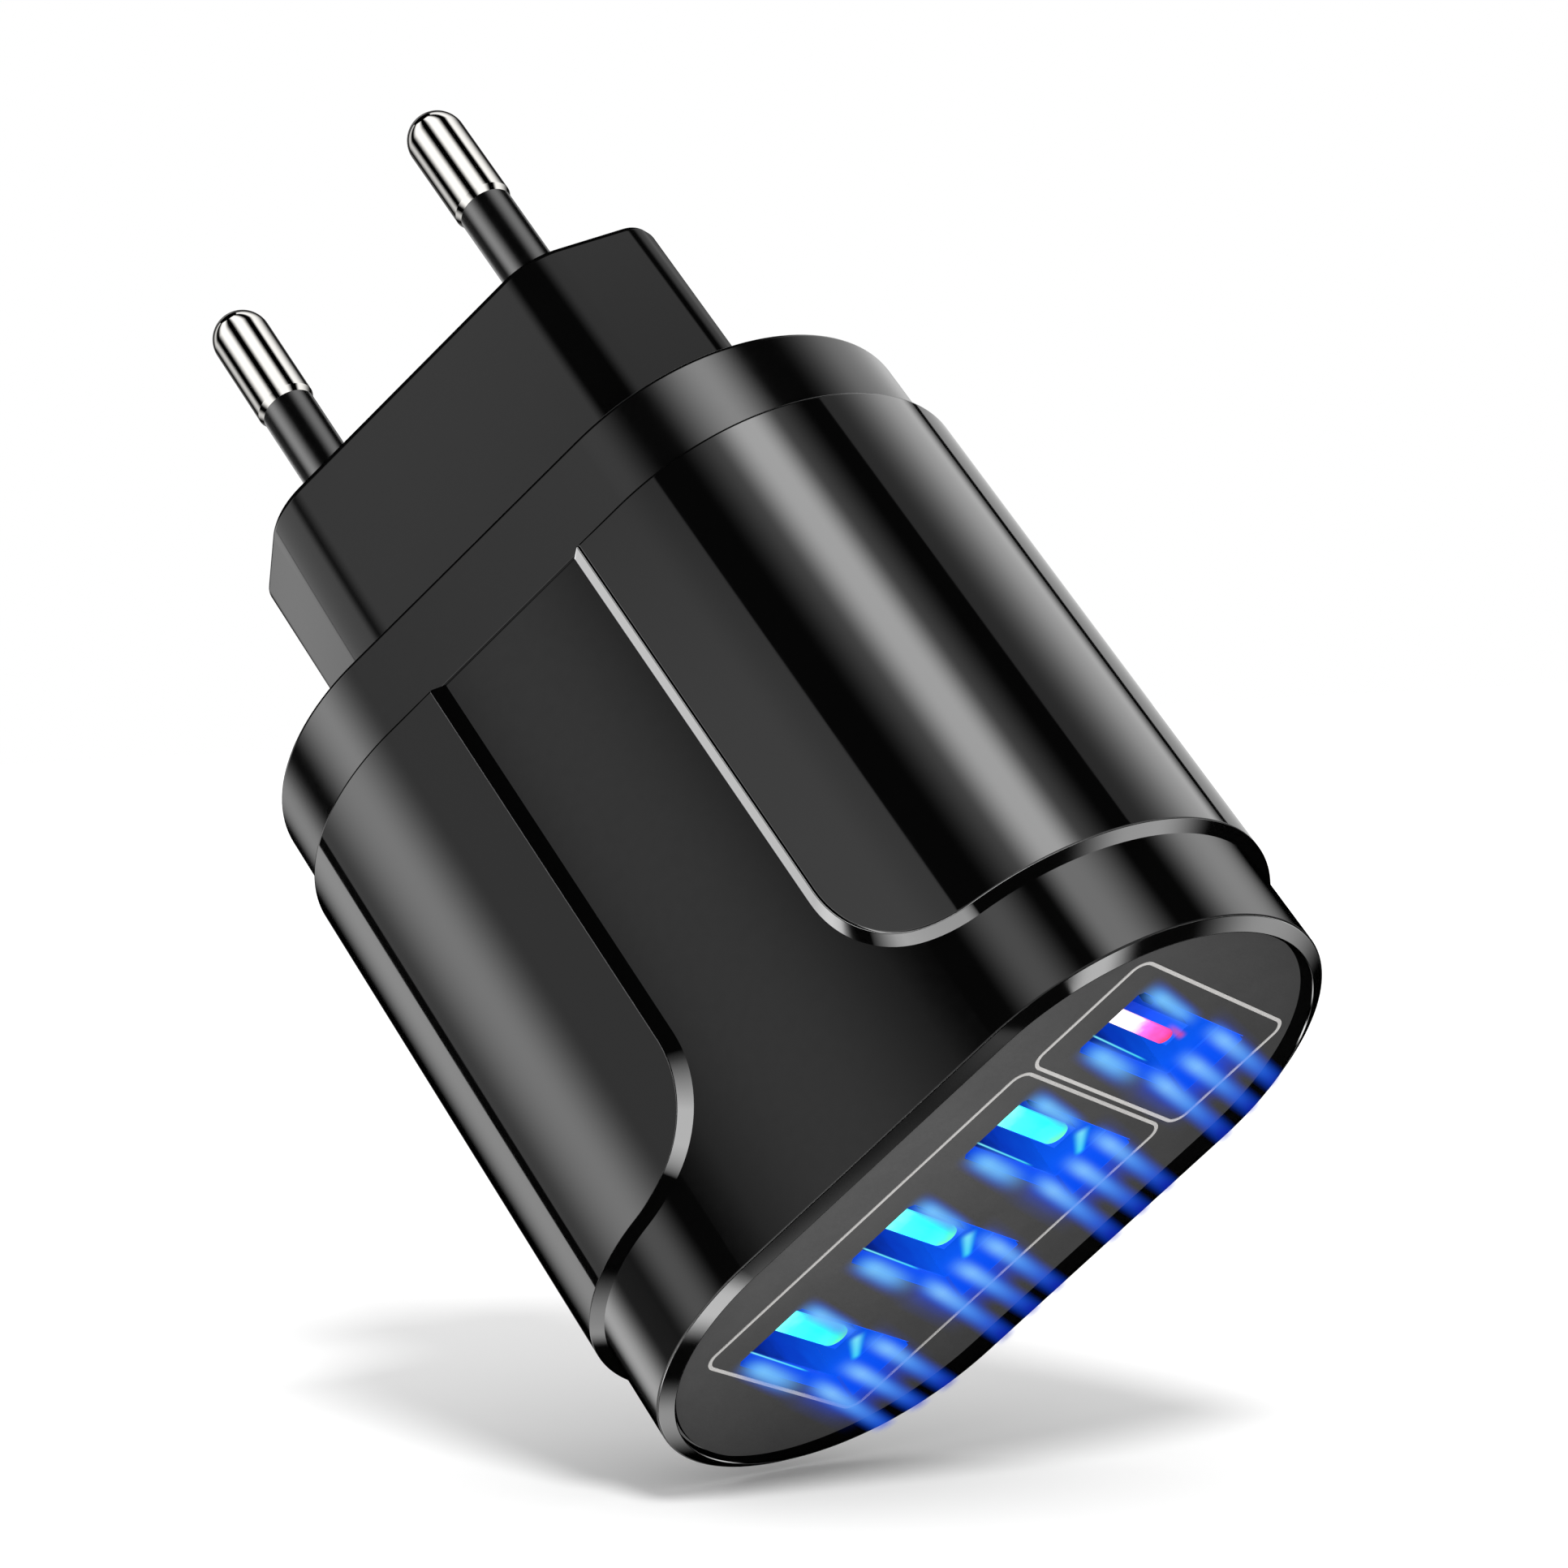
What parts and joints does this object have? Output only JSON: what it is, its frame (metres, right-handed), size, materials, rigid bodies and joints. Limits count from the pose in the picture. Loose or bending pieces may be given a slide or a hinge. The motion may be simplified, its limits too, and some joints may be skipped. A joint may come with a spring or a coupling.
{
  "type": "multi-port wall charger",
  "caption": "Wall charger with a round-pin plug block, a rounded body with raised side panels, and a recessed end plate with a row of upright USB sockets.",
  "frame": {"origin": "centre of the plug block's end face, between the pins", "axes": "+Y along the pins into the wall socket, +X along the row of ports, +Z out of the front broad face, with the charger lying on its back"},
  "size_m": [0.05, 0.0883, 0.03],
  "materials": {
    "black_gloss": "polished black moulding",
    "black_satin": "satin black moulding",
    "plate_grey": "dark grey satin plate with printed outlines",
    "nickel": "polished nickel plate",
    "sleeve_black": "smooth black insulation",
    "contact_brass": "bright",
    "socket_steel": "tinned sheet",
    "tongue_blue": "translucent blue moulding",
    "board_green": "green solder mask",
    "ferrite": "dark ground ferrite",
    "moulding_black": "black moulding compound",
    "winding_yellow": "yellow polyester tape over copper",
    "can_sleeve": "dark shrink sleeve",
    "can_bare": "bare can",
    "disc_blue": "blue dip coating",
    "led_blue": "clear blue lens"
  },
  "bodies": {
    "root": {"rear_housing": "black_satin", "main_shell": "black_gloss", "port_panel": "plate_grey", "plug_pin_left": "nickel", "plug_pin_right": "nickel", "pin_sleeve_left": "sleeve_black", "pin_sleeve_right": "sleeve_black", "contact_blade_left": "contact_brass", "contact_blade_right": "contact_brass", "main_board": "board_green", "usb_board": "board_green", "transformer_core_front": "ferrite", "transformer_core_rear": "ferrite", "transformer_bobbin": "moulding_black", "transformer_winding": "winding_yellow", "input_capacitor_left": "can_sleeve", "input_capacitor_right": "can_sleeve", "output_capacitors": "can_bare", "input_fuse": "moulding_black", "input_inductor": "ferrite", "bridge_rectifier": "moulding_black", "safety_capacitor": "disc_blue", "optocoupler": "moulding_black", "power_controller": "moulding_black", "output_rectifier": "moulding_black", "port_controllers": "moulding_black", "port_leds": "led_blue", "usb_shell_1": "socket_steel", "usb_tongue_1": "tongue_blue", "usb_contacts_1": "contact_brass", "usb_shell_2": "socket_steel", "usb_tongue_2": "tongue_blue", "usb_contacts_2": "contact_brass", "usb_shell_3": "socket_steel", "usb_tongue_3": "tongue_blue", "usb_contacts_3": "contact_brass", "usb_shell_4": "socket_steel", "usb_tongue_4": "tongue_blue", "usb_contacts_4": "contact_brass"}
  },
  "joints": []
}
